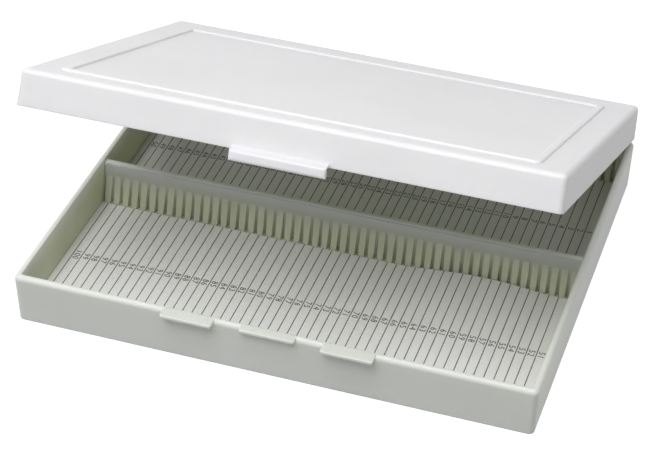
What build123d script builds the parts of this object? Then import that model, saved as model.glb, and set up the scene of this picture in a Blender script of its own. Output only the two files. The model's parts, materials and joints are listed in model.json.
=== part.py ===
from build123d import *
import os

# Flat storage box for microscope slides: a tray with two bays of fifty slots, a divider between them,
# a numbered index sheet on each bay's floor, and a hinged lid that stands part-open.
# Units are millimetres. The origin is the centre of the tray's underside: +X is to the right,
# +Y towards the hinge at the rear, +Z up. The lid is drawn shut, then turned open about its hinge.

# What the box holds
slide_length = 76.0         # a standard slide lies across a bay, from slot to slot
slide_play = 1.6            # its end play between the two slot bottoms
slots_per_row = 50
slot_pitch = 3.96

# Tray
base_height = 21.4
floor_thickness = 2.6
side_wall = 2.6             # left and right walls, at the rim
end_wall = 2.4              # front and rear walls, at the rim
row_margin = 2.4            # from a side wall to the first place of a row
corner_radius = 2.2         # upright outside corners of tray and lid
inside_radius = 1.0
base_lean = 0.68            # how far each outer face has leaned in at the underside
rim_round = 1.8
rim_inner_round = 0.4
foot_round = 0.5

# Divider, a wedge-shaped wall between the bays
divider_foot_width = 6.0
divider_top_width = 2.4
divider_drop = 1.2          # its top lies this far below the rim

# Slot combs: a backing strip with a rib on each side of every slot
strip_thickness = 0.4       # on the divider
wall_strip_thickness = 2.1  # on the front and rear walls
wall_strip_drop = 2.6       # and ends this far below the rim
slot_width = 1.36
rib_reach = 2.5             # how far a rib stands out at its foot
rib_tip_narrowing = 0.35    # draft: a rib's tip is this much narrower than its root
wall_rib_top_reach = 0.9    # a rib on the end walls still stands out this far at its top
wall_rib_drop = 3.6         # and ends this far below the rim
divider_rib_height = 12.0   # a rib on the divider fades into the strip at this height

# Index sheets
sheet_thickness = 0.4
sheet_clearance = 0.15      # around each sheet

# Lid
lid_height = 14.1
lid_wall = 2.2
lid_top = 2.0
lid_inset = 0.1             # the lid is this much smaller than the tray, all round
lid_lean = 0.5              # how far each outer face has leaned in at the top
lid_edge_round = 2.0
parting_gap = 0.1           # between the rims when shut
bead_side_inset = 13.6      # from the lid's left and right edges to the middle of the raised bead
bead_front_inset = 11.8
bead_rear_inset = 21.5
bead_width = 3.0
bead_height = 0.9
bead_round = 0.6
bead_corner = 2.2
open_angle = 23.7           # how far the lid stands open in the rest pose

# Latch: a tab on the lid snaps over a catch on the tray, between two finger ledges
tab_width = 37.0
tab_wall = 1.4
tab_drop = 3.8              # how far the tab hangs below the lid's rim
tab_rise = 1.6              # its sloping shoulder starts this far above the lid's rim
tab_shoulder_fall = 1.5     # and falls this far on its way out to the flat face
tab_gap = 0.2               # between the tab and the catch
tab_round = 1.0
catch_width = 22.0
catch_reach = 2.0
ledge_width = 20.6
ledge_spacing = 63.6        # between the middles of the two finger ledges
ledge_thickness = 1.5
ledge_round = 0.4
ledge_corner = 0.8
hook_bite = 0.5             # how far the tab's hook reaches under the catch
hook_gap = 0.15
hook_height = 1.1

# Hinge: two steel pins, each through a lid knuckle between two tray knuckles
hinge_spacing = 124.0
pin_diameter = 2.0
pin_running_gap = 0.05      # radial, in the lid's knuckle
pin_chamfer = 0.2
knuckle_radius = 2.6
knuckle_wall_gap = 0.6      # between the knuckles and the rear faces
axis_above_rim = 2.0
lid_knuckle_width = 12.0
base_knuckle_width = 7.0
knuckle_gap = 0.3
web_height = 6.5            # how far each knuckle's web runs along its wall
web_edge_gap = 1.0          # from the rim to the near end of the web

# Overall sizes, from what the box holds
row_depth = slide_length + slide_play
inner_length = slots_per_row * slot_pitch + 2 * row_margin
inner_depth = divider_foot_width + 2 * (row_depth + strip_thickness + wall_strip_thickness)
length = inner_length + 2 * side_wall
depth = inner_depth + 2 * end_wall
front_face = -depth / 2
rear_face = depth / 2
lid_rim = base_height + parting_gap
lid_length = length - 2 * lid_inset
lid_depth = depth - 2 * lid_inset
ledge_reach = catch_reach + tab_gap + tab_wall
rib_root_width = slot_pitch - slot_width
rib_tip_width = rib_root_width - rib_tip_narrowing
axis_y = rear_face + knuckle_wall_gap + knuckle_radius
axis_z = base_height + axis_above_rim
pin_length = lid_knuckle_width + 2 * (base_knuckle_width + knuckle_gap)
embed = 1.0                 # how deep a boss starts inside the wall that carries it


def leaning_block(rim_length, rim_depth, rim_z, far_z, lean):
    """A rounded block whose four faces lean in from the rim to its far end."""
    rim = Pos(0, 0, rim_z) * RectangleRounded(rim_length, rim_depth, corner_radius)
    far = Pos(0, 0, far_z) * RectangleRounded(rim_length - 2 * lean, rim_depth - 2 * lean, corner_radius)
    return loft([rim, far], ruled=True)


def edges_at(part, z):
    """The edges that lie flat at one height."""
    return part.edges().filter_by_position(Axis.Z, z - 0.01, z + 0.01)


def ledge(x, width, reach):
    """A shelf on the front face, its top flush with the rim and its root through the wall."""
    root = end_wall + 2 * ledge_corner
    plan = Pos(0, (root - reach) / 2) * RectangleRounded(width, root + reach, ledge_corner)
    shelf = extrude(plan, -ledge_thickness)
    shelf = fillet(edges_at(shelf, 0) + edges_at(shelf, -ledge_thickness), ledge_round)
    return Pos(x, front_face, base_height) * shelf


def knuckle(x, width, web_low, web_high):
    """A hinge barrel with a web that grows out of a rear wall between two heights."""
    barrel = Pos(axis_y, axis_z) * Circle(knuckle_radius)
    seat = Line((rear_face, web_low), (rear_face, web_high))
    profile = make_hull(barrel.edges() + seat.edges())
    profile += Pos(rear_face - embed / 2, (web_low + web_high) / 2) * Rectangle(embed, web_high - web_low)
    return extrude(Plane.YZ.offset(x - width / 2) * profile, width)


def hinge_rod(x, radius, rod_length):
    """A round bar on the hinge axis."""
    return Pos(x, axis_y, axis_z) * Rot(0, 90, 0) * Cylinder(radius, rod_length)


def base_tray():
    """The tray: floor, four walls, latch ledges at the front and knuckles at the rear."""
    tray = leaning_block(length, depth, base_height, 0, base_lean)
    tray = fillet(edges_at(tray, base_height), rim_round)
    tray = fillet(edges_at(tray, 0), foot_round)
    tray += ledge(0, catch_width, catch_reach)
    for side in (-1, 1):
        tray += ledge(side * ledge_spacing / 2, ledge_width, ledge_reach)
    cavity = RectangleRounded(inner_length, inner_depth, inside_radius)
    tray -= extrude(Pos(0, 0, floor_thickness) * cavity, base_height)
    half_x, half_y = inner_length / 2 + 0.01, inner_depth / 2 + 0.01
    lip = edges_at(tray, base_height).filter_by_position(Axis.X, -half_x, half_x)
    tray = fillet(lip.filter_by_position(Axis.Y, -half_y, half_y), rim_inner_round)
    for side in (-1, 1):
        station = side * hinge_spacing / 2
        offset = (lid_knuckle_width + base_knuckle_width) / 2 + knuckle_gap
        web_top = base_height - web_edge_gap
        for x in (station - offset, station + offset):
            tray += knuckle(x, base_knuckle_width, web_top - web_height, web_top)
        tray -= hinge_rod(station, pin_diameter / 2, 2 * pin_length)
    return tray


def divider():
    """The wedge-shaped wall between the bays."""
    top = base_height - divider_drop
    half_foot, half_top = divider_foot_width / 2, divider_top_width / 2
    section = Polygon(
        (-half_foot, floor_thickness), (half_foot, floor_thickness), (half_top, top), (-half_top, top),
        align=None)
    wall = extrude(Plane.YZ * section, inner_length / 2, both=True)
    return fillet(edges_at(wall, top).filter_by(Axis.X), divider_top_width / 4)


def comb(strip_length, face, height, top_reach, rib_height, back_lean):
    """A backing strip of thickness face, with ribs that face +Y, standing on its foot at y = 0, z = 0.

    back_lean is how far the strip's back has moved in -Y at its top. A rib stands out by rib_reach
    at the foot and by top_reach at rib_height, both measured from the leaning strip.
    """
    strip_side = Polygon((0, 0), (face, 0), (face - back_lean, height), (-back_lean, height), align=None)
    strip = extrude(Plane.YZ * strip_side, strip_length / 2, both=True)
    lean_there = back_lean * rib_height / height
    rib_side = Polygon(
        (0, 0), (face + rib_reach, 0), (face - lean_there + top_reach, rib_height), (-lean_there, rib_height),
        align=None)
    plan = Polygon(
        (-rib_root_width / 2, -back_lean), (rib_root_width / 2, -back_lean), (rib_root_width / 2, face),
        (rib_tip_width / 2, face + rib_reach), (-rib_tip_width / 2, face + rib_reach),
        (-rib_root_width / 2, face), align=None)
    rib = extrude(Plane.YZ * rib_side, rib_root_width, both=True) & extrude(plan, height)
    row = slots_per_row * slot_pitch
    places = [-row / 2 + index * slot_pitch for index in range(slots_per_row + 1)]
    return strip + [Pos(x, 0, 0) * rib for x in places]


def wall_comb():
    """The comb of the front wall, its ribs towards the divider, between the tray's rounded corners."""
    height = base_height - wall_strip_drop - floor_thickness
    rib_height = base_height - wall_rib_drop - floor_thickness
    strip_length = inner_length - 2 * inside_radius
    strip = comb(strip_length, wall_strip_thickness, height, wall_rib_top_reach, rib_height, 0)
    return Pos(0, -inner_depth / 2, floor_thickness) * strip


def divider_comb():
    """The comb on the divider's rear face, its ribs towards the rear wall."""
    height = base_height - divider_drop - divider_top_width / 4 - floor_thickness
    full = base_height - divider_drop - floor_thickness
    back_lean = (divider_foot_width - divider_top_width) / 2 * height / full
    strip = comb(inner_length, strip_thickness, height, 0, divider_rib_height, back_lean)
    return Pos(0, divider_foot_width / 2, floor_thickness) * strip


def index_sheet():
    """The front bay's card, which lies on the floor between the tips of the ribs."""
    tip = rib_reach + sheet_clearance
    near = divider_foot_width / 2 + strip_thickness + tip
    far = inner_depth / 2 - wall_strip_thickness - tip
    sheet = Rectangle(inner_length - 2 * sheet_clearance, far - near)
    return extrude(Pos(0, -(near + far) / 2, floor_thickness) * sheet, sheet_thickness)


def latch_tab():
    """The lid's tab: a sloping shoulder, a flat face, and a hook that lies under the catch when shut."""
    outer = front_face - ledge_reach
    inner = outer + tab_wall
    hook = front_face - catch_reach + hook_bite
    foot = lid_rim - tab_drop
    hook_top = base_height - ledge_thickness - hook_gap
    wall_face = front_face + lid_inset
    section = Polygon(
        (wall_face + embed, lid_rim + tab_rise), (wall_face, lid_rim + tab_rise),
        (outer, lid_rim + tab_rise - tab_shoulder_fall), (outer, foot), (inner, foot),
        (hook, hook_top - hook_height), (hook, hook_top), (inner, hook_top), (inner, lid_rim),
        (wall_face + embed, lid_rim), align=None)
    tab = extrude(Plane.YZ * section, tab_width / 2, both=True)
    front_edges = tab.edges().filter_by_position(Axis.Y, outer - 0.01, outer + 0.01)
    return fillet(front_edges, tab_round)


def lid_shut():
    """The lid in its shut place: shell, raised bead, latch tab and knuckles."""
    top = lid_rim + lid_height
    lid = leaning_block(lid_length, lid_depth, lid_rim, top, lid_lean)
    lid = fillet(edges_at(lid, top), lid_edge_round)
    bead_length = lid_length - 2 * bead_side_inset
    bead_depth = lid_depth - bead_front_inset - bead_rear_inset
    bead = RectangleRounded(bead_length + bead_width, bead_depth + bead_width, bead_corner)
    bead -= RectangleRounded(bead_length - bead_width, bead_depth - bead_width, bead_corner - bead_width / 2)
    bead = extrude(Pos(0, (bead_front_inset - bead_rear_inset) / 2, top) * bead, bead_height)
    lid += fillet(edges_at(bead, top + bead_height), bead_round)
    cavity = RectangleRounded(lid_length - 2 * lid_wall, lid_depth - 2 * lid_wall, inside_radius)
    cavity = extrude(Pos(0, 0, lid_rim) * cavity, lid_height - lid_top)
    lid += latch_tab()
    web_low = lid_rim + web_edge_gap
    for side in (-1, 1):
        station = side * hinge_spacing / 2
        lid += knuckle(station, lid_knuckle_width, web_low, web_low + web_height)
        lid -= hinge_rod(station, pin_diameter / 2 + pin_running_gap, pin_length)
    return lid - cavity


def hinge_pin(side):
    """One steel hinge pin, pressed into the tray's knuckles."""
    pin = hinge_rod(side * hinge_spacing / 2, pin_diameter / 2, pin_length)
    return chamfer(pin.edges().filter_by(GeomType.CIRCLE), pin_chamfer)


hinge_axis = Axis((0, axis_y, axis_z), (-1, 0, 0))
front_comb = wall_comb()
middle_comb = divider_comb()
front_sheet = index_sheet()
half_turn = Rot(0, 0, 180)
parts = {
    "base_tray": base_tray(),
    "divider": divider(),
    "front_slot_comb": front_comb,
    "rear_slot_comb": half_turn * front_comb,
    "divider_rear_comb": middle_comb,
    "divider_front_comb": half_turn * middle_comb,
    "front_index_sheet": front_sheet,
    "rear_index_sheet": half_turn * front_sheet,
    "lid": lid_shut().rotate(hinge_axis, open_angle),
    "hinge_pin_left": hinge_pin(-1),
    "hinge_pin_right": hinge_pin(1),
}
os.makedirs("parts", exist_ok=True)
for name, part in parts.items():
    export_step(part, f"parts/{name}.step")
print(f"closed box {length:.1f} x {depth:.1f} x {base_height + parting_gap + lid_height:.1f}")
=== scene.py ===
import json
import math

import bpy
import numpy as np
from bpy.props import FloatProperty, FloatVectorProperty, IntProperty, PointerProperty
from mathutils import Matrix, Vector


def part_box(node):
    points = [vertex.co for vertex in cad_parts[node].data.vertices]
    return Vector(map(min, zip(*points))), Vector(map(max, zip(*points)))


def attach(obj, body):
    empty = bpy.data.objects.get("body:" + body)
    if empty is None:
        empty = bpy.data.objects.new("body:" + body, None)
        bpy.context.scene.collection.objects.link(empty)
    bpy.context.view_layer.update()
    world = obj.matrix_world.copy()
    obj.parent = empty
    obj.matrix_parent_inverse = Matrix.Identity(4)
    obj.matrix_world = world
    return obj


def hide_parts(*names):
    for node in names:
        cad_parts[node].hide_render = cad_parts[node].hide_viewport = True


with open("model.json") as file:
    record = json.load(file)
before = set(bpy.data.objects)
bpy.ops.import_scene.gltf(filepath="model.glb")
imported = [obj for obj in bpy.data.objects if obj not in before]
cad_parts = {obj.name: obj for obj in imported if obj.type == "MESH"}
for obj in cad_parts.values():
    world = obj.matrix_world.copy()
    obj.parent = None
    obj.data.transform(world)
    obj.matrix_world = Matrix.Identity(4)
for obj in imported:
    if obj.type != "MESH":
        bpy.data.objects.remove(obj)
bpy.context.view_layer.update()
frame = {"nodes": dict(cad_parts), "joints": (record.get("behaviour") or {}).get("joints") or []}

bl_info = {
    "name": "Slide Box Finishes",
    "version": (1, 0, 0),
    "blender": (4, 5, 0),
    "location": "3D Viewport > Sidebar > Slide Box",
    "description": "Index cards, surface finishes and a stage for a microscope slide storage box",
    "category": "Object",
}

MM = 0.001

# Places that the pieces below are laid out from, read off the frame, in metres
CARDS = {"front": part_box("front_index_sheet"), "rear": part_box("rear_index_sheet")}
TRAY_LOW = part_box("base_tray")[0]
INNER_HALF_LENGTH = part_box("divider")[1].x
INNER_HALF_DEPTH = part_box("rear_slot_comb")[1].y
FLOOR_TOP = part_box("divider")[0].z
RIM = 21.4 * MM
LID_HINGE = next(joint for joint in frame["joints"] if joint["name"] == "lid_hinge")
OPEN_ANGLE = -math.radians(LID_HINGE["range_deg"][0])


class IndexCardSettings(bpy.types.PropertyGroup):
    """Sizes and colours of the two printed cards on the bay floors."""
    places: IntProperty(name="Places", description="Slots numbered on each card", default=50, min=1)
    pitch: FloatProperty(
        name="Line pitch", description="From one printed line to the next",
        default=3.93 * MM, unit="LENGTH", precision=5)
    print_shift: FloatProperty(
        name="Print shift", description="How far the printing sits to the left of the slots",
        default=0.22 * MM, unit="LENGTH", precision=5)
    line_width: FloatProperty(
        name="Line width", description="Width of a printed line",
        default=0.36 * MM, unit="LENGTH", precision=5)
    digit_height: FloatProperty(
        name="Digit height", description="Height of a printed digit",
        default=2.6 * MM, unit="LENGTH", precision=5)
    digit_advance: FloatProperty(
        name="Digit advance", description="From one digit of a number to the next",
        default=2.05 * MM, unit="LENGTH", precision=5)
    front_number_shift: FloatProperty(
        name="Front number shift", description="How far the front row's numbers lie before the card's middle",
        default=0.5 * MM, unit="LENGTH", precision=5)
    rear_number_shift: FloatProperty(
        name="Rear number shift", description="How far the rear row's numbers lie before the card's middle",
        default=1.6 * MM, unit="LENGTH", precision=5)
    ink_height: FloatProperty(
        name="Ink height", description="How far the ink stands above the card",
        default=0.03 * MM, unit="LENGTH", precision=6)
    thickness: FloatProperty(
        name="Card thickness", description="Thickness of the card",
        default=0.3 * MM, unit="LENGTH", precision=5)
    warp: FloatProperty(
        name="Card warp", description="How far the front card's buckle lifts off the floor",
        default=2.3 * MM, unit="LENGTH", precision=5)
    card_colour: FloatVectorProperty(
        name="Card colour", description="Paper white of the card", subtype="COLOR",
        default=(0.84, 0.84, 0.83), min=0.0, max=1.0)
    ink_colour: FloatVectorProperty(
        name="Ink colour", description="Colour of lines and numbers", subtype="COLOR",
        default=(0.07, 0.07, 0.075), min=0.0, max=1.0)


class PlasticSettings(bpy.types.PropertyGroup):
    """Colours and surface of the moulded plastic."""
    tray_colour: FloatVectorProperty(
        name="Tray colour", description="Outer faces of the tray", subtype="COLOR",
        default=(0.76, 0.78, 0.74), min=0.0, max=1.0)
    # Painted shade: a darker, greener colour for the walls, slots and floors inside the bays and the lid's
    # hollow, in place of their shade and the light bounced inside them.
    bay_shade_colour: FloatVectorProperty(
        name="Bay shade colour", description="Walls and slots inside the bays, where the plastic looks deeper",
        subtype="COLOR", default=(0.64, 0.67, 0.50), min=0.0, max=1.0)
    lid_colour: FloatVectorProperty(
        name="Lid colour", description="Outer faces of the lid", subtype="COLOR",
        default=(0.82, 0.82, 0.83), min=0.0, max=1.0)
    roughness: FloatProperty(
        name="Roughness", description="Mean roughness of the satin surface", default=0.42, min=0.0, max=1.0)
    glow_through: FloatProperty(
        name="Glow through", description="Share of the light that spreads inside the plastic",
        default=0.6, min=0.0, max=1.0)
    glow_depth: FloatProperty(
        name="Glow depth", description="How far light spreads inside the plastic",
        default=3.0 * MM, unit="LENGTH", precision=5)
    grain_size: FloatProperty(
        name="Grain size", description="Size of the mould's fine grain",
        default=0.35 * MM, unit="LENGTH", precision=5)
    edge_radius: FloatProperty(
        name="Edge radius", description="How far an edge's softening reaches",
        default=0.35 * MM, unit="LENGTH", precision=5)


class SteelSettings(bpy.types.PropertyGroup):
    """Colour and surface of the hinge pins."""
    colour: FloatVectorProperty(
        name="Steel colour", description="Colour of the drawn steel", subtype="COLOR",
        default=(0.56, 0.56, 0.57), min=0.0, max=1.0)
    roughness: FloatProperty(
        name="Roughness", description="Mean roughness of the drawn surface", default=0.32, min=0.0, max=1.0)


class StageSettings(bpy.types.PropertyGroup):
    """Camera, lamps and floor."""
    lens: FloatProperty(name="Lens", description="Focal length, in millimetres", default=120.07, min=1.0)
    azimuth: FloatProperty(
        name="Azimuth", description="How far the camera stands to the right of the front",
        default=math.radians(17.679), subtype="ANGLE")
    elevation: FloatProperty(
        name="Elevation", description="How far the camera looks down",
        default=math.radians(36.638), subtype="ANGLE")
    roll: FloatProperty(
        name="Roll", description="Turn of the camera about its line of sight",
        default=math.radians(1.0), subtype="ANGLE")
    place: FloatVectorProperty(
        name="Camera place", description="Where the camera stands", subtype="TRANSLATION",
        default=(0.20959, -0.67444, 0.53667))
    key_power: FloatProperty(
        name="Key power", description="Power of the overhead lamp", default=12.5, unit="POWER")
    world_level: FloatProperty(
        name="World level", description="Strength of the even light from all round", default=0.42, min=0.0)
    floor_colour: FloatVectorProperty(
        name="Floor colour", description="Colour of the pale floor", subtype="COLOR",
        default=(0.28, 0.28, 0.28), min=0.0, max=1.0)
    floor_glow: FloatProperty(
        name="Floor glow", description="Light that only the camera sees on the floor", default=0.92, min=0.0)


# ---------------------------------------------------------------- shader nodes

def add(tree, kind, inputs=None, **settings):
    """One shader node, with its inputs set to values or wired to other nodes' outputs."""
    made = tree.nodes.new(kind)
    for name, value in settings.items():
        setattr(made, name, value)
    for name, value in (inputs or {}).items():
        if isinstance(value, bpy.types.NodeSocket):
            tree.links.new(value, made.inputs[name])
        else:
            made.inputs[name].default_value = value
    return made


def calc(tree, operation, *values):
    """The result of a Math node."""
    return add(tree, "ShaderNodeMath", dict(enumerate(values)), operation=operation).outputs[0]


def mix_colour(tree, factor, first, second):
    """The result of a colour Mix node."""
    return add(tree, "ShaderNodeMix", {0: factor, 6: first, 7: second}, data_type="RGBA").outputs[2]


def ramp(tree, value, low, high, smooth=True):
    """A value taken from 0 at low to 1 at high."""
    made = add(
        tree, "ShaderNodeMapRange", {"Value": value, "From Min": low, "From Max": high},
        interpolation_type="SMOOTHSTEP" if smooth else "LINEAR")
    return made.outputs[0]


def opaque(colour):
    """A colour with full alpha."""
    return (*colour[:3], 1.0)


def effect(name, inputs, outputs, build):
    """A shader node group, built once. inputs and outputs pair a name with a socket kind and a default."""
    if name in bpy.data.node_groups:
        return bpy.data.node_groups[name]
    tree = bpy.data.node_groups.new(name, "ShaderNodeTree")
    for way, sockets in (("INPUT", inputs), ("OUTPUT", outputs)):
        for label, (kind, default) in sockets.items():
            socket = tree.interface.new_socket(label, in_out=way, socket_type=kind)
            if default is not None:
                socket.default_value = default
    given = tree.nodes.new("NodeGroupInput")
    result = tree.nodes.new("NodeGroupOutput")
    for label, socket in build(tree, given.outputs).items():
        tree.links.new(socket, result.inputs[label])
    return tree


def place_effect(tree, group, inputs):
    """A group node with its own values."""
    made = tree.nodes.new("ShaderNodeGroup")
    made.node_tree = group
    for name, value in inputs.items():
        if isinstance(value, bpy.types.NodeSocket):
            tree.links.new(value, made.inputs[name])
        else:
            made.inputs[name].default_value = value
    return made.outputs


def moulded_grain():
    """Fine grain of a spark-eroded mould, with a slow waviness where thick walls have sunk."""
    def build(tree, given):
        per_metre = calc(tree, "DIVIDE", 1.0, given["Grain Size"])
        fine = add(tree, "ShaderNodeTexNoise", {
            "Vector": given["Vector"], "Scale": per_metre, "Detail": 2.0, "Roughness": 0.6})
        slow = add(tree, "ShaderNodeTexNoise", {"Vector": given["Vector"], "Scale": 38.0, "Detail": 1.0})
        height = calc(tree, "ADD", fine.outputs["Fac"], calc(tree, "MULTIPLY", slow.outputs["Fac"], 9.0))
        return {"Height": height, "Grain": fine.outputs["Fac"]}
    return effect(
        "moulded grain",
        {"Vector": ("NodeSocketVector", None), "Grain Size": ("NodeSocketFloat", 0.35 * MM)},
        {"Height": ("NodeSocketFloat", None), "Grain": ("NodeSocketFloat", None)}, build)


def slow_drift():
    """Two tones that drift into each other over a few centimetres, as flow and cooling leave them."""
    def build(tree, given):
        noise = add(tree, "ShaderNodeTexNoise", {
            "Vector": given["Vector"], "Scale": given["Scale"], "Detail": 2.0, "Roughness": 0.45})
        factor = ramp(tree, noise.outputs["Fac"], 0.34, 0.66)
        return {"Colour": mix_colour(tree, factor, given["First"], given["Second"]), "Mask": factor}
    return effect(
        "slow drift",
        {"Vector": ("NodeSocketVector", None), "Scale": ("NodeSocketFloat", 16.0),
         "First": ("NodeSocketColor", None), "Second": ("NodeSocketColor", None)},
        {"Colour": ("NodeSocketColor", None), "Mask": ("NodeSocketFloat", None)}, build)


def soft_edges():
    """Rounded normals at edges, and a mask that is 1 on an edge and 0 on open faces."""
    def build(tree, given):
        rounded = add(tree, "ShaderNodeBevel", {"Radius": given["Radius"]}, samples=6)
        plain = add(tree, "ShaderNodeNewGeometry")
        along = add(tree, "ShaderNodeVectorMath", {
            0: rounded.outputs["Normal"], 1: plain.outputs["True Normal"]}, operation="DOT_PRODUCT")
        mask = ramp(tree, along.outputs["Value"], 0.995, 0.86)
        return {"Normal": rounded.outputs["Normal"], "Mask": mask}
    return effect(
        "soft edges", {"Radius": ("NodeSocketFloat", 0.35 * MM)},
        {"Normal": ("NodeSocketVector", None), "Mask": ("NodeSocketFloat", None)}, build)


def inside_box():
    """1 inside a box about the origin and 0 outside it: half sizes in X and Y, and a floor and a top in Z."""
    def build(tree, given):
        parts = add(tree, "ShaderNodeSeparateXYZ", {"Vector": given["Vector"]})
        past_x = calc(tree, "SUBTRACT", given["Half X"], calc(tree, "ABSOLUTE", parts.outputs["X"]))
        past_y = calc(tree, "SUBTRACT", given["Half Y"], calc(tree, "ABSOLUTE", parts.outputs["Y"]))
        above = calc(tree, "SUBTRACT", parts.outputs["Z"], given["Floor"])
        below = calc(tree, "SUBTRACT", given["Top"], parts.outputs["Z"])
        sides = calc(tree, "MULTIPLY", ramp(tree, past_x, -0.1 * MM, 0.1 * MM),
                     ramp(tree, past_y, -0.1 * MM, 0.1 * MM))
        ends = calc(tree, "MULTIPLY", ramp(tree, above, -0.1 * MM, 0.1 * MM),
                    ramp(tree, below, 0.0, given["Fade"]))
        return {"Mask": calc(tree, "MULTIPLY", sides, ends)}
    sizes = ("Half X", "Half Y", "Floor", "Top", "Fade")
    return effect(
        "inside box",
        {"Vector": ("NodeSocketVector", None), **{name: ("NodeSocketFloat", 0.01) for name in sizes}},
        {"Mask": ("NodeSocketFloat", None)}, build)


def card_fibre():
    """Fibres and speckle of uncoated card."""
    def build(tree, given):
        stretched = add(tree, "ShaderNodeMapping", {"Vector": given["Vector"], "Scale": (1.0, 0.45, 1.0)})
        fibres = add(tree, "ShaderNodeTexNoise", {
            "Vector": stretched.outputs["Vector"], "Scale": 2600.0, "Detail": 3.0, "Roughness": 0.7})
        cloud = add(tree, "ShaderNodeTexNoise", {"Vector": given["Vector"], "Scale": 90.0, "Detail": 2.0})
        specks = add(tree, "ShaderNodeTexVoronoi", {"Vector": given["Vector"], "Scale": 900.0})
        return {
            "Fibre": fibres.outputs["Fac"], "Cloud": cloud.outputs["Fac"],
            "Speck": ramp(tree, specks.outputs["Distance"], 0.22, 0.08)}
    return effect(
        "card fibre", {"Vector": ("NodeSocketVector", None)},
        {name: ("NodeSocketFloat", None) for name in ("Fibre", "Cloud", "Speck")}, build)


def new_material(name):
    """An empty node material, its output, and the piece's own coordinates."""
    material = bpy.data.materials.new(name)
    material.use_nodes = True
    tree = material.node_tree
    tree.nodes.clear()
    output = tree.nodes.new("ShaderNodeOutputMaterial")
    where = add(tree, "ShaderNodeTexCoord").outputs["Object"]
    return material, tree, output, where


def plastic(name, colour, shade_colour, shade_mask):
    """Satin moulded plastic, with a painted highlight on its edges. The last argument builds the mask of
    where a darker, greener painted shade goes.
    """
    look = bpy.context.scene.slide_box_plastic
    material, tree, output, where = new_material(name)
    grain = place_effect(tree, moulded_grain(), {"Vector": where, "Grain Size": look.grain_size})
    edges = place_effect(tree, soft_edges(), {"Radius": look.edge_radius})
    outer = place_effect(tree, slow_drift(), {
        "Vector": where, "Scale": 14.0,
        "First": opaque(colour), "Second": opaque([c * 0.965 for c in colour])})
    # Painted shade: the darker, greener colour inside the bays and the lid's hollow, drifting between two
    # tones, mixed in by the shade mask.
    shade_tones = place_effect(tree, slow_drift(), {
        "Vector": where, "Scale": 60.0,
        "First": opaque(shade_colour), "Second": opaque([c * 0.93 for c in shade_colour])})
    mixed = mix_colour(tree, shade_mask(tree, where), outer["Colour"], shade_tones["Colour"])
    # Painted highlight: the colour is lightened on edges, towards a copy 6 percent brighter.
    painted_edge_highlight = calc(tree, "MULTIPLY", edges["Mask"], 0.35)
    coloured = mix_colour(tree, painted_edge_highlight, mixed, opaque([min(1.0, c * 1.06) for c in colour]))
    roughness = calc(tree, "MULTIPLY_ADD", grain["Grain"], 0.16, look.roughness - 0.08)
    bump = add(tree, "ShaderNodeBump", {
        "Strength": 0.35, "Distance": 0.02 * MM, "Height": grain["Height"], "Normal": edges["Normal"]})
    shader = add(tree, "ShaderNodeBsdfPrincipled", {
        "Base Color": coloured, "Roughness": roughness, "Normal": bump.outputs["Normal"], "IOR": 1.49,
        "Subsurface Weight": look.glow_through, "Subsurface Radius": (1.0, 1.0, 0.7),
        "Subsurface Scale": look.glow_depth})
    tree.links.new(shader.outputs[0], output.inputs["Surface"])
    return material


def bay_shade_mask(tree, where):
    """Where painted shade goes inside the tray: the bays' walls and floor, fading towards the rim."""
    margin, fade = 0.2 * MM, 9.0 * MM
    sizes = {
        "Half X": INNER_HALF_LENGTH + margin, "Half Y": INNER_HALF_DEPTH + margin,
        "Floor": FLOOR_TOP - 1.5 * margin, "Top": RIM, "Fade": fade}
    return place_effect(tree, inside_box(), {"Vector": where, **sizes})["Mask"]


def lid_shade_mask(tree, where):
    """Where painted shade goes inside the lid's hollow, found with the lid turned back to its shut place."""
    hinge = Vector(LID_HINGE["pos_m"])
    back = Matrix.Rotation(OPEN_ANGLE, 3, "X")
    shift = hinge - back @ hinge
    shut = add(tree, "ShaderNodeMapping", {
        "Vector": where, "Rotation": (OPEN_ANGLE, 0.0, 0.0), "Location": shift}, vector_type="POINT")
    margin, hollow_height = 0.2 * MM, 12.6 * MM
    sizes = {
        "Half X": INNER_HALF_LENGTH + 2 * margin, "Half Y": INNER_HALF_DEPTH + margin,
        "Floor": RIM + 1.5 * margin, "Top": RIM + hollow_height, "Fade": margin}
    return place_effect(tree, inside_box(), {"Vector": shut.outputs["Vector"], **sizes})["Mask"]


def steel():
    """Drawn steel with fine lines round the bar."""
    look = bpy.context.scene.slide_box_steel
    material, tree, output, where = new_material("pin steel")
    stretched = add(tree, "ShaderNodeMapping", {"Vector": where, "Scale": (1.0, 0.06, 0.06)})
    lines = add(tree, "ShaderNodeTexNoise", {
        "Vector": stretched.outputs["Vector"], "Scale": 9000.0, "Detail": 2.0})
    roughness = calc(tree, "MULTIPLY_ADD", lines.outputs["Fac"], 0.2, look.roughness - 0.1)
    darker = opaque([c * 0.82 for c in look.colour])
    colour = mix_colour(tree, lines.outputs["Fac"], opaque(look.colour), darker)
    bump = add(tree, "ShaderNodeBump", {
        "Strength": 0.25, "Distance": 0.01 * MM, "Height": lines.outputs["Fac"]})
    shader = add(tree, "ShaderNodeBsdfPrincipled", {
        "Base Color": colour, "Roughness": roughness, "Metallic": 1.0, "Normal": bump.outputs["Normal"]})
    tree.links.new(shader.outputs[0], output.inputs["Surface"])
    return material


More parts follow.
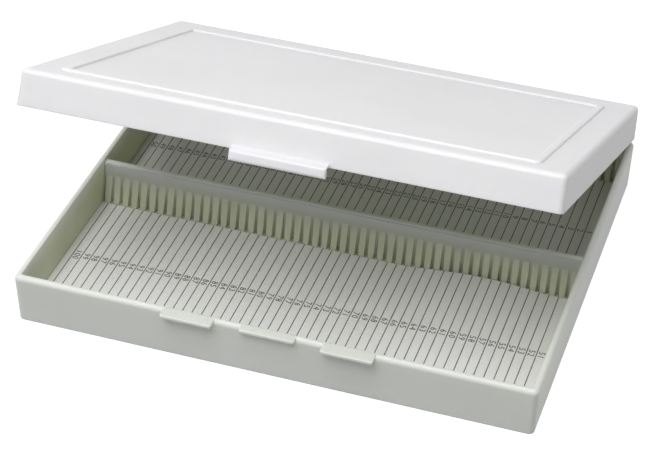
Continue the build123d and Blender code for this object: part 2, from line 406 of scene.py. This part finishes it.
def card():
    """Uncoated white card."""
    look = bpy.context.scene.slide_box_cards
    material, tree, output, where = new_material("index card")
    fibre = place_effect(tree, card_fibre(), {"Vector": where})
    white = look.card_colour
    cloudy, fibrous, speckled = (opaque([c * shade for c in white]) for shade in (0.965, 0.90, 0.7))
    clouded = mix_colour(tree, ramp(tree, fibre["Cloud"], 0.3, 0.7), opaque(white), cloudy)
    toned = mix_colour(tree, ramp(tree, fibre["Fibre"], 0.35, 0.75), clouded, fibrous)
    specked = mix_colour(tree, calc(tree, "MULTIPLY", fibre["Speck"], 0.25), toned, speckled)
    bump = add(tree, "ShaderNodeBump", {
        "Strength": 0.4, "Distance": 0.02 * MM, "Height": fibre["Fibre"]})
    shader = add(tree, "ShaderNodeBsdfPrincipled", {
        "Base Color": specked, "Roughness": calc(tree, "MULTIPLY_ADD", fibre["Fibre"], 0.2, 0.72),
        "Normal": bump.outputs["Normal"], "Specular IOR Level": 0.25})
    tree.links.new(shader.outputs[0], output.inputs["Surface"])
    return material


def ink():
    """Printer's ink, a little patchy where the card's fibres show through."""
    look = bpy.context.scene.slide_box_cards
    material, tree, output, where = new_material("index ink")
    fibre = place_effect(tree, card_fibre(), {"Vector": where})
    colour = mix_colour(tree, ramp(tree, fibre["Fibre"], 0.55, 0.9), opaque(look.ink_colour),
                        opaque([c * 0.5 for c in look.card_colour]))
    shader = add(tree, "ShaderNodeBsdfPrincipled", {
        "Base Color": colour, "Roughness": calc(tree, "MULTIPLY_ADD", fibre["Fibre"], 0.2, 0.55)})
    tree.links.new(shader.outputs[0], output.inputs["Surface"])
    return material


# ---------------------------------------------------------------- surfaces

def new_piece(name, points, faces, material, body, smooth=False):
    """A mesh piece at the origin that rides on a body. points is an n x 3 array, in metres."""
    mesh = bpy.data.meshes.new(name)
    corners = faces.tolist() if isinstance(faces, np.ndarray) else faces
    mesh.from_pydata(points.reshape(-1, 3).tolist(), [], corners)
    mesh.polygons.foreach_set("use_smooth", np.full(len(mesh.polygons), smooth))
    mesh.materials.append(material)
    mesh.update()
    piece = bpy.data.objects.new(name, mesh)
    bpy.context.scene.collection.objects.link(piece)
    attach(piece, body)
    return piece


def tube_faces(rings, sides):
    """Quads that join each ring of points to the next one, with rings counted along and sides round."""
    ring, side = np.meshgrid(np.arange(rings - 1), np.arange(sides), indexing="ij")
    after = (side + 1) % sides
    quads = np.stack([ring * sides + side, ring * sides + after,
                      (ring + 1) * sides + after, (ring + 1) * sides + side], axis=-1)
    return quads.reshape(-1, 4)


def card_top(row, x, y):
    """Height of a card's upper face over the point x, y.

    The card lies on the bay's floor, and the front one has buckled near the right end of its rear
    edge. The lift along the card rises from 0 to 1 over one smooth step, 3t^2 - 2t^3, and falls
    to a quarter over another. Across the card it grows from 0 at the front edge with the power
    1.5 of the distance, up to the warp at the rear edge. The rear card has a fifth of that.
    """
    look = bpy.context.scene.slide_box_cards
    low, high = CARDS[row]
    share = {"front": 1.0, "rear": 0.2}[row]
    rise = np.clip((x - 27.0 * MM) / (32.0 * MM), 0.0, 1.0)
    fall = np.clip((x - 68.0 * MM) / (24.0 * MM), 0.0, 1.0)
    along = (3.0 * rise ** 2 - 2.0 * rise ** 3) * (1.0 - 0.75 * (3.0 * fall ** 2 - 2.0 * fall ** 3))
    across = np.clip((y - low.y) / (high.y - low.y), 0.0, 1.0) ** 1.5
    return low.z + look.thickness + share * look.warp * along * across


def card_body(row, material):
    """The card itself: a grid on its upper face, another a thickness below, and a rim between them."""
    look = bpy.context.scene.slide_box_cards
    low, high = CARDS[row]
    across, along = 90, 24
    x, y = np.meshgrid(
        np.linspace(low.x, high.x, across), np.linspace(low.y, high.y, along), indexing="ij")
    top = card_top(row, x, y)
    upper = np.stack([x, y, top], axis=-1)
    lower = np.stack([x, y, top - look.thickness], axis=-1)
    points = np.concatenate([upper.reshape(-1, 3), lower.reshape(-1, 3)])
    index = np.arange(across * along).reshape(across, along)
    quads = np.stack([index[:-1, :-1], index[1:, :-1], index[1:, 1:], index[:-1, 1:]], axis=-1)
    quads = quads.reshape(-1, 4)
    rim = np.concatenate([index[:, 0], index[-1, 1:], index[-2::-1, -1], index[0, -2:0:-1]])
    rim_after = np.roll(rim, -1)
    below = across * along
    walls = np.stack([rim + below, rim_after + below, rim_after, rim], axis=-1)
    faces = np.concatenate([quads, quads[:, ::-1] + below, walls])
    piece = new_piece(f"{row}_index_card", points, faces, material, "tray")
    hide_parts(f"{row}_index_sheet")
    return piece


def line_places():
    """The places of the printed lines along a row, one to the left of each number."""
    look = bpy.context.scene.slide_box_cards
    first = -look.places * look.pitch / 2 - look.print_shift
    return first + look.pitch * np.arange(look.places)


def card_lines(row, material):
    """Printed lines: a thin four-sided bar for each place, which follows the card's upper face."""
    look = bpy.context.scene.slide_box_cards
    low, high = CARDS[row]
    steps, margin = 24, 0.2 * MM
    y = np.linspace(low.y + margin, high.y - margin, steps)
    half_section = np.array([look.line_width / 2, look.ink_height])
    offsets = np.array([[-1, -1], [1, -1], [1, 1], [-1, 1]]) * half_section
    places = line_places()
    x = places[:, None, None] + offsets[None, None, :, 0] + np.zeros((1, steps, 1))
    y_all = np.broadcast_to(y[None, :, None], x.shape)
    z = card_top(row, x, y_all) + offsets[None, None, :, 1]
    points = np.stack([x, y_all, z], axis=-1)
    sides = tube_faces(steps, 4)
    caps = np.array([[0, 1, 2, 3], [4 * steps - 1, 4 * steps - 2, 4 * steps - 3, 4 * steps - 4]])
    one = np.concatenate([sides[:, ::-1], caps])
    faces = (one[None] + (4 * steps * np.arange(len(places)))[:, None, None]).reshape(-1, 4)
    return new_piece(f"{row}_index_lines", points, faces, material, "tray")


def digit_shapes():
    """The ten digits as closed meshes, 1 high and centred on their width, read off plain text."""
    shapes = []
    for digit in "0123456789":
        text = bpy.data.curves.new("digit", "FONT")
        text.body = digit
        text.resolution_u = 2
        text.extrude = 0.5
        holder = bpy.data.objects.new("digit", text)
        bpy.context.scene.collection.objects.link(holder)
        bpy.context.view_layer.update()
        mesh = bpy.data.meshes.new_from_object(holder.evaluated_get(bpy.context.evaluated_depsgraph_get()))
        points = np.empty(len(mesh.vertices) * 3, np.float32)
        mesh.vertices.foreach_get("co", points)
        points = points.reshape(-1, 3).astype(float)
        faces = [tuple(polygon.vertices) for polygon in mesh.polygons]
        shapes.append((points, faces))
        bpy.data.objects.remove(holder)
        bpy.data.curves.remove(text)
        bpy.data.meshes.remove(mesh)
    tall = max(points[:, 1].max() for points, _ in shapes)
    low = min(points[:, 1].min() for points, _ in shapes)
    for points, _ in shapes:
        points[:, 0] -= (points[:, 0].min() + points[:, 0].max()) / 2
        points[:, 1] = (points[:, 1] - low) / (tall - low) - 0.5
        points[:, 0] /= tall - low
    return shapes


def card_numbers(row, last, shapes, material):
    """Plain numbers, one for each place, counting down to the right from last, tops to the right."""
    look = bpy.context.scene.slide_box_cards
    low, high = CARDS[row]
    shift = {"front": look.front_number_shift, "rear": look.rear_number_shift}[row]
    middle = (low.y + high.y) / 2 - shift
    points, faces, count = [], [], 0
    for place, line in enumerate(line_places()):
        digits = str(last - place)
        for order, digit in enumerate(digits):
            shape, shape_faces = shapes[int(digit)]
            reading = (order - (len(digits) - 1) / 2) * look.digit_advance
            x = line + look.pitch / 2 + shape[:, 1] * look.digit_height
            y = middle - reading - shape[:, 0] * look.digit_height
            z = card_top(row, x, y) + np.sign(shape[:, 2]) * look.ink_height
            points.append(np.stack([x, y, z], axis=-1))
            faces += [tuple(corner + count for corner in face) for face in shape_faces]
            count += len(shape)
    return new_piece(f"{row}_index_numbers", np.concatenate(points), faces, material, "tray")


def dress(material, *names):
    """Gives CAD nodes a material in place of their own."""
    for name in names:
        piece = frame["nodes"][name]
        piece.data.materials.clear()
        piece.data.materials.append(material)


# ---------------------------------------------------------------- operators

class SLIDEBOX_OT_finish_tray(bpy.types.Operator):
    """Gives the tray, its divider and its slot combs their moulded plastic, with painted shade inside the
    bays
    """
    bl_idname = "slidebox.finish_tray"
    bl_label = "Finish Tray"

    def execute(self, context):
        look = context.scene.slide_box_plastic
        material = plastic("tray plastic", look.tray_colour, look.bay_shade_colour, bay_shade_mask)
        dress(material, "base_tray", "divider", "front_slot_comb", "rear_slot_comb",
              "divider_front_comb", "divider_rear_comb")
        return {"FINISHED"}


class SLIDEBOX_OT_finish_lid(bpy.types.Operator):
    """Gives the lid its moulded plastic, with painted shade inside its hollow"""
    bl_idname = "slidebox.finish_lid"
    bl_label = "Finish Lid"

    def execute(self, context):
        look = context.scene.slide_box_plastic
        dress(plastic("lid plastic", look.lid_colour, look.bay_shade_colour, lid_shade_mask), "lid")
        return {"FINISHED"}


class SLIDEBOX_OT_finish_pins(bpy.types.Operator):
    """Gives the hinge pins their drawn steel"""
    bl_idname = "slidebox.finish_pins"
    bl_label = "Finish Hinge Pins"

    def execute(self, context):
        dress(steel(), "hinge_pin_left", "hinge_pin_right")
        return {"FINISHED"}


class SLIDEBOX_OT_lay_index_cards(bpy.types.Operator):
    """Lays a printed index card on each bay's floor"""
    bl_idname = "slidebox.lay_index_cards"
    bl_label = "Lay Index Cards"

    def execute(self, context):
        look = context.scene.slide_box_cards
        paper, print_ink = card(), ink()
        shapes = digit_shapes()
        for row, last in (("front", 2 * look.places), ("rear", look.places)):
            card_body(row, paper)
            card_lines(row, print_ink)
            card_numbers(row, last, shapes, print_ink)
        return {"FINISHED"}


class SLIDEBOX_OT_set_stage(bpy.types.Operator):
    """Sets the pale floor, the soft lamps and the camera"""
    bl_idname = "slidebox.set_stage"
    bl_label = "Set Stage"

    def execute(self, context):
        scene = context.scene
        look = scene.slide_box_stage
        scene.view_settings.view_transform = "Standard"
        stage_floor(look)
        stage_world(scene, look)
        stage_lamps(scene, look)
        stage_camera(scene, look)
        return {"FINISHED"}


def seen_directly(tree):
    """1 for rays that the camera, a mirror or glass sends, 0 for rays that only carry light."""
    path = add(tree, "ShaderNodeLightPath").outputs
    either = calc(tree, "MAXIMUM", path["Is Camera Ray"], path["Is Glossy Ray"])
    return calc(tree, "MAXIMUM", either, path["Is Transmission Ray"])


def stage_floor(look):
    """A wide pale floor at the tray's foot."""
    half = 3.0
    x, y = np.meshgrid([-half, half], [-half, half], indexing="ij")
    corners = np.stack([x, y, np.zeros_like(x)], axis=-1).reshape(-1, 3)
    mesh = bpy.data.meshes.new("floor")
    mesh.from_pydata(corners.tolist(), [], [(0, 2, 3, 1)])
    floor = bpy.data.objects.new("floor", mesh)
    bpy.context.scene.collection.objects.link(floor)
    floor.location.z = TRAY_LOW.z - 0.02 * MM
    material, tree, output, where = new_material("floor")
    mottle = add(tree, "ShaderNodeTexNoise", {"Vector": where, "Scale": 3.0, "Detail": 1.0})
    colour = mix_colour(tree, mottle.outputs["Fac"], opaque(look.floor_colour),
                        opaque([c * 0.97 for c in look.floor_colour]))
    matt = add(tree, "ShaderNodeBsdfPrincipled", {
        "Base Color": colour, "Roughness": 0.9, "Specular IOR Level": 0.1})
    glow = add(tree, "ShaderNodeEmission", {
        "Strength": calc(tree, "MULTIPLY", seen_directly(tree), look.floor_glow)})
    both = add(tree, "ShaderNodeAddShader", {0: matt.outputs[0], 1: glow.outputs[0]})
    tree.links.new(both.outputs[0], output.inputs["Surface"])
    floor.data.materials.append(material)


def stage_world(scene, look):
    """Even light from all round, which shows as white where it is seen directly."""
    world = bpy.data.worlds.new("studio")
    world.use_nodes = True
    tree = world.node_tree
    tree.nodes.clear()
    strength = add(tree, "ShaderNodeMix", {
        0: seen_directly(tree), 2: look.world_level, 3: 1.0}, data_type="FLOAT").outputs[0]
    background = add(tree, "ShaderNodeBackground", {"Color": (1.0, 1.0, 1.0, 1.0), "Strength": strength})
    output = tree.nodes.new("ShaderNodeOutputWorld")
    tree.links.new(background.outputs[0], output.inputs["Surface"])
    scene.world = world


def area_lamp(scene, name, place, aim, size, power, colour=(1.0, 1.0, 1.0)):
    """A square soft lamp at place, turned to aim."""
    lamp = bpy.data.lights.new(name, "AREA")
    lamp.shape = "SQUARE"
    lamp.size = size
    lamp.energy = power
    lamp.color = colour
    holder = bpy.data.objects.new(name, lamp)
    holder.location = place
    holder.rotation_mode = "QUATERNION"
    holder.rotation_quaternion = (Vector(aim) - Vector(place)).to_track_quat("-Z", "Y")
    scene.collection.objects.link(holder)


def stage_lamps(scene, look):
    """A large softbox above and in front, and a weak one from the left."""
    middle = (0.0, 0.0, RIM)
    area_lamp(scene, "overhead softbox", (-0.12, -0.56, 1.25), middle, 0.9, look.key_power)
    area_lamp(scene, "left fill", (-1.3, -0.5, 0.7), middle, 0.8, look.key_power * 0.2)


def stage_camera(scene, look):
    """A camera whose sight line runs down by the elevation and to the left of +Y by the azimuth."""
    data = bpy.data.cameras.new("camera")
    data.sensor_width = 36.0
    data.lens = look.lens
    data.clip_start = 0.05
    data.clip_end = 20.0
    level, rise = math.cos(look.elevation), math.sin(look.elevation)
    back = Vector((math.sin(look.azimuth) * level, -math.cos(look.azimuth) * level, rise))
    right = (-back).cross(Vector((0.0, 0.0, 1.0))).normalized()
    up = right.cross(-back)
    across = right * math.cos(look.roll) + up * math.sin(look.roll)
    upward = up * math.cos(look.roll) - right * math.sin(look.roll)
    turn = Matrix((across, upward, back)).transposed().to_4x4()
    camera = bpy.data.objects.new("camera", data)
    camera.matrix_world = Matrix.Translation(Vector(look.place)) @ turn
    scene.collection.objects.link(camera)
    scene.camera = camera


class SLIDEBOX_PT_sidebar(bpy.types.Panel):
    """Lists the steps that finish the slide box"""
    bl_idname = "SLIDEBOX_PT_sidebar"
    bl_label = "Slide Box"
    bl_space_type = "VIEW_3D"
    bl_region_type = "UI"
    bl_category = "Slide Box"

    def draw(self, context):
        column = self.layout.column(align=True)
        for step in STEPS:
            column.operator(step.bl_idname)


STEPS = (
    SLIDEBOX_OT_finish_tray, SLIDEBOX_OT_finish_lid, SLIDEBOX_OT_finish_pins,
    SLIDEBOX_OT_lay_index_cards, SLIDEBOX_OT_set_stage)
SETTINGS = {
    "slide_box_cards": IndexCardSettings, "slide_box_plastic": PlasticSettings,
    "slide_box_steel": SteelSettings, "slide_box_stage": StageSettings}
CLASSES = (*SETTINGS.values(), *STEPS, SLIDEBOX_PT_sidebar)


def register():
    for kind in CLASSES:
        bpy.utils.register_class(kind)
    for name, kind in SETTINGS.items():
        setattr(bpy.types.Scene, name, PointerProperty(type=kind))


def unregister():
    for name in SETTINGS:
        delattr(bpy.types.Scene, name)
    for kind in reversed(CLASSES):
        bpy.utils.unregister_class(kind)


def main():
    """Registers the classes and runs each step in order."""
    register()
    for step in STEPS:
        family, name = step.bl_idname.split(".")
        getattr(getattr(bpy.ops, family), name)()


if __name__ == "__main__":
    main()
